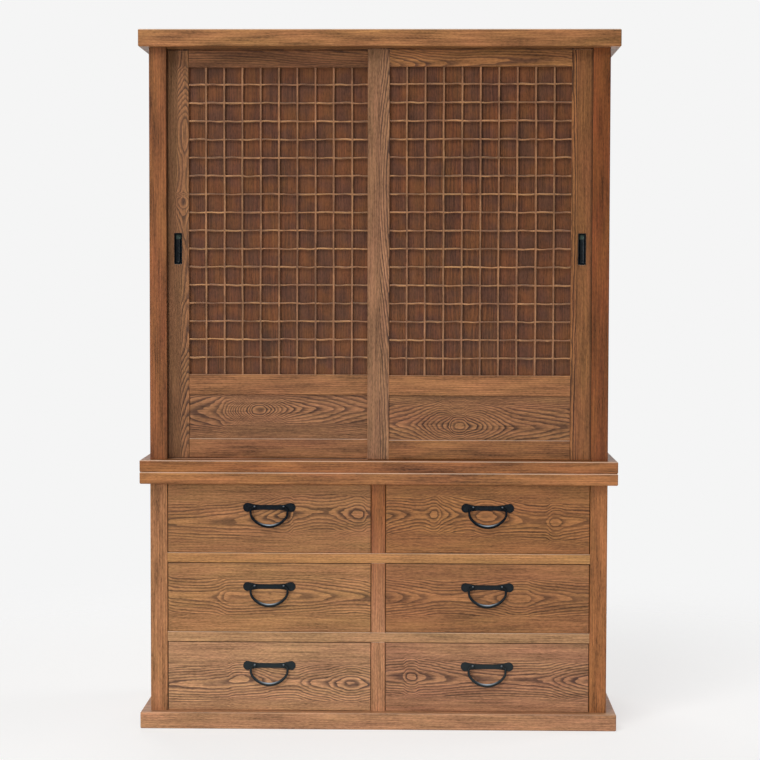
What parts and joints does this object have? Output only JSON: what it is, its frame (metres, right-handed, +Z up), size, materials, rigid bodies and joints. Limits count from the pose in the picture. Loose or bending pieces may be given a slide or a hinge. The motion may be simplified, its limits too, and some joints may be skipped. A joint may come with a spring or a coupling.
{
  "type": "clothing chest",
  "caption": "Tall wooden clothing chest in two stacked cases: a cupboard behind two sliding lattice doors above rows of wide drawers with black iron drop handles.",
  "frame": {"origin": "on the floor under the middle of the plan of the base board", "axes": "+X to the viewer's right when facing the doors, +Y from the front to the back, +Z up"},
  "size_m": [1.2, 0.5, 1.755],
  "materials": {
    "case_wood": "stained and oiled, satin",
    "door_wood": "stained open-pored wood, satin",
    "drawer_wood": "stained open-pored wood with bold grain, satin",
    "lattice_wood": "stained, satin",
    "backing_wood": "dark stained veneer, satin",
    "inner_wood": "planed, unfinished",
    "iron": "blackened wrought iron"
  },
  "bodies": {
    "root": {"base_board": "case_wood", "lower_left_side_frame": "case_wood", "lower_right_side_frame": "case_wood", "lower_side_panels": "case_wood", "lower_back_boards": "inner_wood", "drawer_rails": "case_wood", "centre_posts": "case_wood", "centre_partition": "inner_wood", "drawer_runners": "inner_wood", "drawer_guides": "inner_wood", "lower_top_board": "case_wood", "upper_bottom_board": "case_wood", "upper_left_side_frame": "case_wood", "upper_right_side_frame": "case_wood", "upper_side_panels": "case_wood", "upper_back_boards": "inner_wood", "cupboard_shelf": "inner_wood", "shelf_cleats": "inner_wood", "upper_top_board": "case_wood", "locating_pegs": "inner_wood"},
    "left_door": {"left_door_stiles": "door_wood", "left_door_rails": "door_wood", "left_door_lattice_uprights": "lattice_wood", "left_door_lattice_crossbars": "lattice_wood", "left_door_backing_board": "backing_wood", "left_door_lower_panel": "door_wood", "left_door_pull": "iron"},
    "right_door": {"right_door_stiles": "door_wood", "right_door_rails": "door_wood", "right_door_lattice_uprights": "lattice_wood", "right_door_lattice_crossbars": "lattice_wood", "right_door_backing_board": "backing_wood", "right_door_lower_panel": "door_wood", "right_door_pull": "iron"},
    "bottom_left_drawer": {"bottom_left_drawer_front": "drawer_wood", "bottom_left_drawer_box": "inner_wood", "bottom_left_drawer_handle": "iron"},
    "bottom_left_drawer_bail": {"bottom_left_drawer_bail": "iron"},
    "bottom_right_drawer": {"bottom_right_drawer_front": "drawer_wood", "bottom_right_drawer_box": "inner_wood", "bottom_right_drawer_handle": "iron"},
    "bottom_right_drawer_bail": {"bottom_right_drawer_bail": "iron"},
    "middle_left_drawer": {"middle_left_drawer_front": "drawer_wood", "middle_left_drawer_box": "inner_wood", "middle_left_drawer_handle": "iron"},
    "middle_left_drawer_bail": {"middle_left_drawer_bail": "iron"},
    "middle_right_drawer": {"middle_right_drawer_front": "drawer_wood", "middle_right_drawer_box": "inner_wood", "middle_right_drawer_handle": "iron"},
    "middle_right_drawer_bail": {"middle_right_drawer_bail": "iron"},
    "top_left_drawer": {"top_left_drawer_front": "drawer_wood", "top_left_drawer_box": "inner_wood", "top_left_drawer_handle": "iron"},
    "top_left_drawer_bail": {"top_left_drawer_bail": "iron"},
    "top_right_drawer": {"top_right_drawer_front": "drawer_wood", "top_right_drawer_box": "inner_wood", "top_right_drawer_handle": "iron"},
    "top_right_drawer_bail": {"top_right_drawer_bail": "iron"}
  },
  "joints": [
    {"name": "left_door_slide", "type": "slide", "parent": "root", "child": "left_door", "axis": [1, 0, 0], "range_m": [0, 0.503]},
    {"name": "right_door_slide", "type": "slide", "parent": "root", "child": "right_door", "axis": [1, 0, 0], "range_m": [-0.503, 0]},
    {"name": "bottom_left_drawer_slide", "type": "slide", "parent": "root", "child": "bottom_left_drawer", "axis": [0, -1, 0], "range_m": [0, 0.35]},
    {"name": "bottom_left_drawer_bail_swing", "type": "hinge", "parent": "bottom_left_drawer", "child": "bottom_left_drawer_bail", "pos_m": [-0.27525, -0.2335, 0.1575], "axis": [-1, 0, 0], "range_deg": [0, 175]},
    {"name": "bottom_right_drawer_slide", "type": "slide", "parent": "root", "child": "bottom_right_drawer", "axis": [0, -1, 0], "range_m": [0, 0.35]},
    {"name": "bottom_right_drawer_bail_swing", "type": "hinge", "parent": "bottom_right_drawer", "child": "bottom_right_drawer_bail", "pos_m": [0.27525, -0.2335, 0.1575], "axis": [-1, 0, 0], "range_deg": [0, 175]},
    {"name": "middle_left_drawer_slide", "type": "slide", "parent": "root", "child": "middle_left_drawer", "axis": [0, -1, 0], "range_m": [0, 0.35]},
    {"name": "middle_left_drawer_bail_swing", "type": "hinge", "parent": "middle_left_drawer", "child": "middle_left_drawer_bail", "pos_m": [-0.27525, -0.2335, 0.3585], "axis": [-1, 0, 0], "range_deg": [0, 175]},
    {"name": "middle_right_drawer_slide", "type": "slide", "parent": "root", "child": "middle_right_drawer", "axis": [0, -1, 0], "range_m": [0, 0.35]},
    {"name": "middle_right_drawer_bail_swing", "type": "hinge", "parent": "middle_right_drawer", "child": "middle_right_drawer_bail", "pos_m": [0.27525, -0.2335, 0.3585], "axis": [-1, 0, 0], "range_deg": [0, 175]},
    {"name": "top_left_drawer_slide", "type": "slide", "parent": "root", "child": "top_left_drawer", "axis": [0, -1, 0], "range_m": [0, 0.35]},
    {"name": "top_left_drawer_bail_swing", "type": "hinge", "parent": "top_left_drawer", "child": "top_left_drawer_bail", "pos_m": [-0.27525, -0.2335, 0.5595], "axis": [-1, 0, 0], "range_deg": [0, 175]},
    {"name": "top_right_drawer_slide", "type": "slide", "parent": "root", "child": "top_right_drawer", "axis": [0, -1, 0], "range_m": [0, 0.35]},
    {"name": "top_right_drawer_bail_swing", "type": "hinge", "parent": "top_right_drawer", "child": "top_right_drawer_bail", "pos_m": [0.27525, -0.2335, 0.5595], "axis": [-1, 0, 0], "range_deg": [0, 175]}
  ]
}
